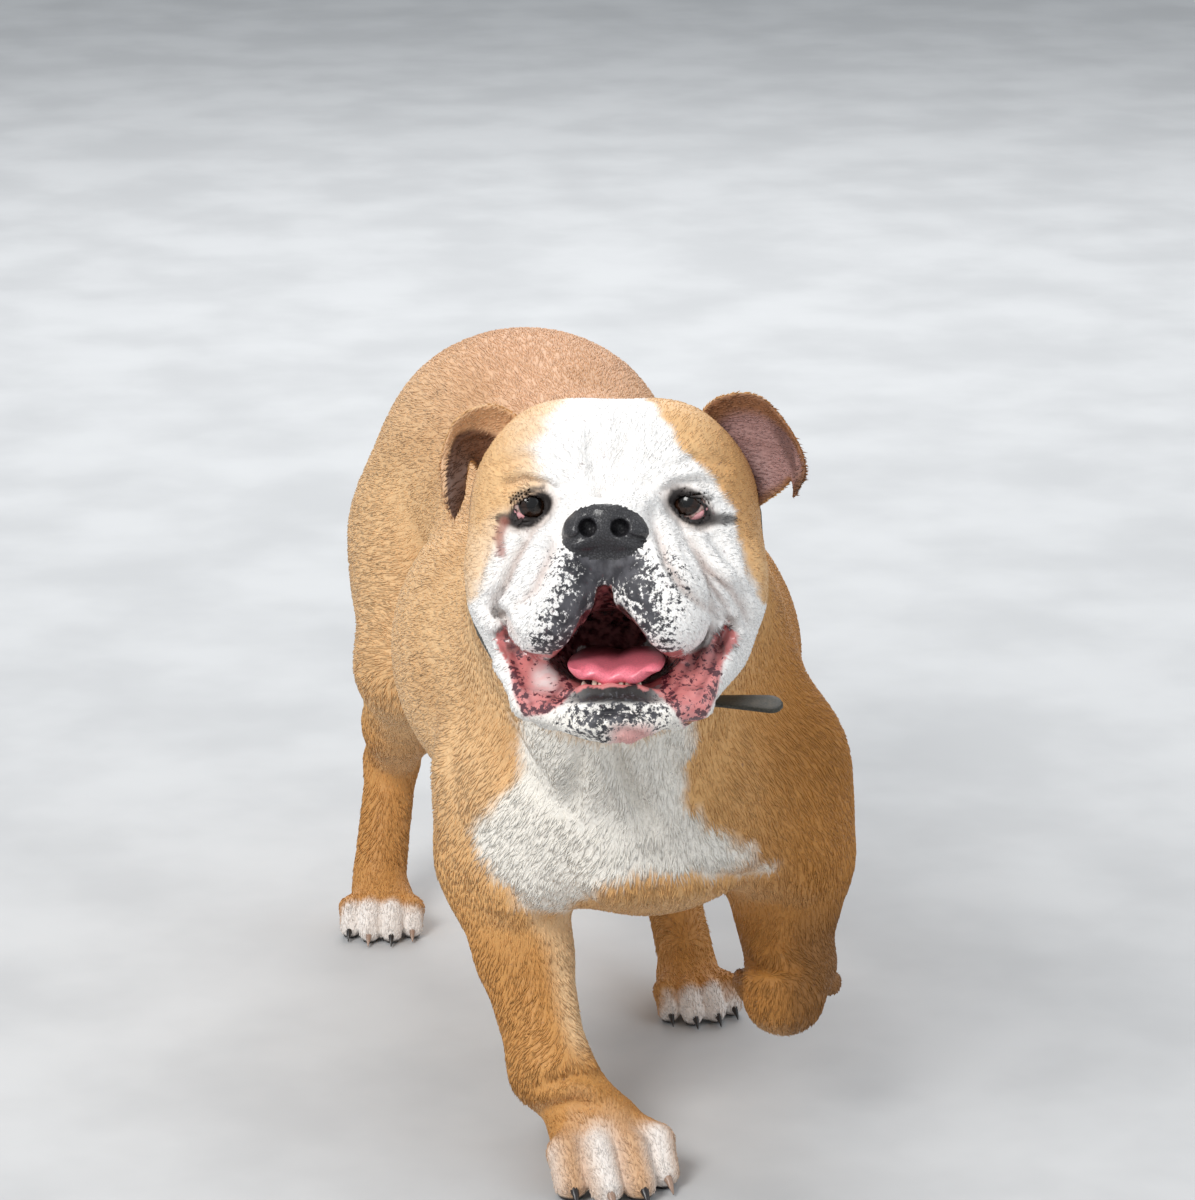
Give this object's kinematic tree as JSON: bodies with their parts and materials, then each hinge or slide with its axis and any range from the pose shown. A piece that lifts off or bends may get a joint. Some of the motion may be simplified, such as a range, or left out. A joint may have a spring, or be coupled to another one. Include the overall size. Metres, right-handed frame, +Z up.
{
  "type": "bulldog model",
  "caption": "Life-size still model of a walking bulldog with a broad wrinkled face, open mouth, rose ears, short tail and a collar; one forepaw is lifted.",
  "frame": {"origin": "centre of the bounding box at floor level", "axes": "+Z up, the dog faces -Y, its left side is +X"},
  "size_m": [0.3042, 0.8092, 0.5221],
  "materials": {
    "fawn_coat": "short warm fawn fur with white markings, matte",
    "white_coat": "short white fur with fawn side patches, matte",
    "ear_coat": "short brown fur outside, thin bare skin inside",
    "nose_leather": "moist charcoal leather",
    "tongue": "moist pink",
    "eye": "glossy dark brown, wet",
    "collar_strap": "dark olive woven strap"
  },
  "bodies": {
    "root": {"torso": "fawn_coat", "neck": "fawn_coat", "tail": "fawn_coat", "fore_leg_left": "fawn_coat", "fore_leg_right": "fawn_coat", "hind_leg_left": "fawn_coat", "hind_leg_right": "fawn_coat", "fore_paw_left": "fawn_coat", "fore_paw_right": "fawn_coat", "hind_paw_left": "fawn_coat", "hind_paw_right": "fawn_coat", "head": "white_coat", "lower_jaw": "white_coat", "nose": "nose_leather", "tongue": "tongue", "ear_left": "ear_coat", "ear_right": "ear_coat", "eye_left": "eye", "eye_right": "eye", "collar_band": "collar_strap", "collar_end": "collar_strap"}
  },
  "joints": []
}
